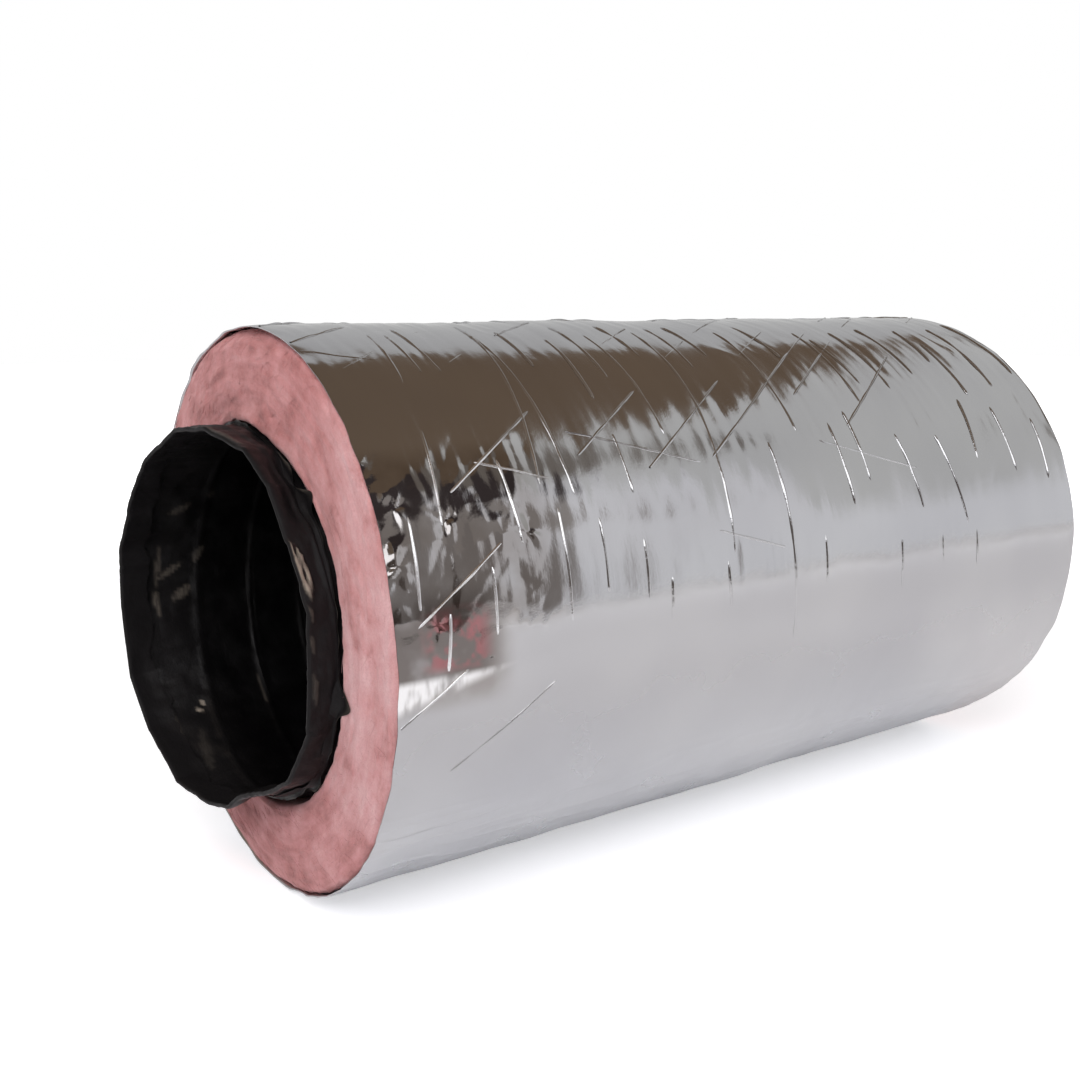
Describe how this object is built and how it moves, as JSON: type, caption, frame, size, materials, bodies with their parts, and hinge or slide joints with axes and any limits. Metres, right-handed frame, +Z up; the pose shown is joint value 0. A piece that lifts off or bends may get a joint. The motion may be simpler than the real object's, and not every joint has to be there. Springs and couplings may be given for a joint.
{
  "type": "flexible air duct",
  "caption": "Insulated flexible round air duct: wire-ribbed core, glass-wool blanket and foil jacket, with the core end exposed; bends, compresses and lets the core pull out.",
  "frame": {"origin": "centre of the bottom of the bounding box", "axes": "+X along the duct from the exposed core end to the plain cut end, +Z up"},
  "size_m": [0.5748, 0.3106, 0.3107],
  "materials": {
    "blanket": "matte",
    "jacket": "satin",
    "film": "satin",
    "liner": "satin",
    "wire": "satin"
  },
  "bodies": {
    "section_1": {"insulation_1": "blanket", "wire_1": "wire", "jacket_1": "jacket", "core_film_1": "film", "liner_film_1": "liner"},
    "section_2": {"insulation_2": "blanket", "wire_2": "wire", "jacket_2": "jacket", "core_film_2": "film", "liner_film_2": "liner"},
    "section_3": {"insulation_3": "blanket", "wire_3": "wire", "jacket_3": "jacket", "core_film_3": "film", "liner_film_3": "liner"},
    "section_4": {"insulation_4": "blanket", "wire_4": "wire", "jacket_4": "jacket", "core_film_4": "film", "liner_film_4": "liner"},
    "section_5": {"insulation_5": "blanket", "wire_5": "wire"},
    "section_6": {"insulation_6": "blanket", "wire_6": "wire", "jacket_5": "jacket", "core_film_5": "film", "liner_film_5": "liner"},
    "section_7": {"insulation_7": "blanket", "wire_7": "wire", "jacket_6": "jacket", "core_film_6": "film", "liner_film_6": "liner"},
    "section_8": {"insulation_8": "blanket", "wire_8": "wire", "jacket_7": "jacket", "core_film_7": "film", "liner_film_7": "liner"},
    "core_neck": {"wire_neck": "wire", "core_film_neck": "film", "liner_film_neck": "liner", "core_film_cuff": "film"},
    "core_end": {"wire_end": "wire", "core_film_end": "film", "liner_film_end": "liner"}
  },
  "joints": [
    {"name": "bend_sideways", "type": "hinge", "parent": "section_4", "child": "section_5", "pos_m": [0.02338, 0, 0.15535], "axis": [0, 0, 1], "range_deg": [-15, 15], "deforming": ["jacket_4", "core_film_4", "liner_film_4"]},
    {"name": "compress", "type": "slide", "parent": "section_5", "child": "section_6", "axis": [-1, 0, 0], "range_m": [0, 0.028], "deforming": ["jacket_5", "core_film_5", "liner_film_5"]},
    {"name": "bend_upwards", "type": "hinge", "parent": "section_6", "child": "section_7", "pos_m": [0.15538, 0, 0.15535], "axis": [0, -1, 0], "range_deg": [0, 15], "deforming": ["jacket_6", "core_film_6", "liner_film_6"]},
    {"name": "bend_sideways_far", "type": "hinge", "parent": "section_7", "child": "section_8", "pos_m": [0.22138, 0, 0.15535], "axis": [0, 0, 1], "range_deg": [-15, 15], "deforming": ["jacket_7", "core_film_7", "liner_film_7"]},
    {"name": "compress_near", "type": "slide", "parent": "section_4", "child": "section_3", "axis": [1, 0, 0], "range_m": [0, 0.028], "deforming": ["jacket_3", "core_film_3", "liner_film_3"]},
    {"name": "bend_upwards_near", "type": "hinge", "parent": "section_3", "child": "section_2", "pos_m": [-0.10862, 0, 0.15535], "axis": [0, -1, 0], "range_deg": [-15, 0], "deforming": ["jacket_2", "core_film_2", "liner_film_2"]},
    {"name": "bend_sideways_near", "type": "hinge", "parent": "section_2", "child": "section_1", "pos_m": [-0.17462, 0, 0.15535], "axis": [0, 0, 1], "range_deg": [-15, 15], "deforming": ["jacket_1", "core_film_1", "liner_film_1"]},
    {"name": "core_pull_out", "type": "slide", "parent": "section_1", "child": "core_neck", "axis": [-1, 0, 0], "range_m": [0, 0.045], "deforming": ["core_film_neck", "liner_film_neck"]},
    {"name": "core_end_tilt", "type": "hinge", "parent": "core_neck", "child": "core_end", "pos_m": [-0.24062, 0, 0.15535], "axis": [0, 0, 1], "range_deg": [-8, 4], "deforming": ["core_film_end", "liner_film_end"]}
  ],
  "couplings": [
    {"joint": "bend_sideways_far", "follows": "bend_sideways", "ratio": 1},
    {"joint": "bend_sideways_near", "follows": "bend_sideways", "ratio": -1},
    {"joint": "bend_upwards_near", "follows": "bend_upwards", "ratio": -1},
    {"joint": "compress_near", "follows": "compress", "ratio": 1}
  ]
}
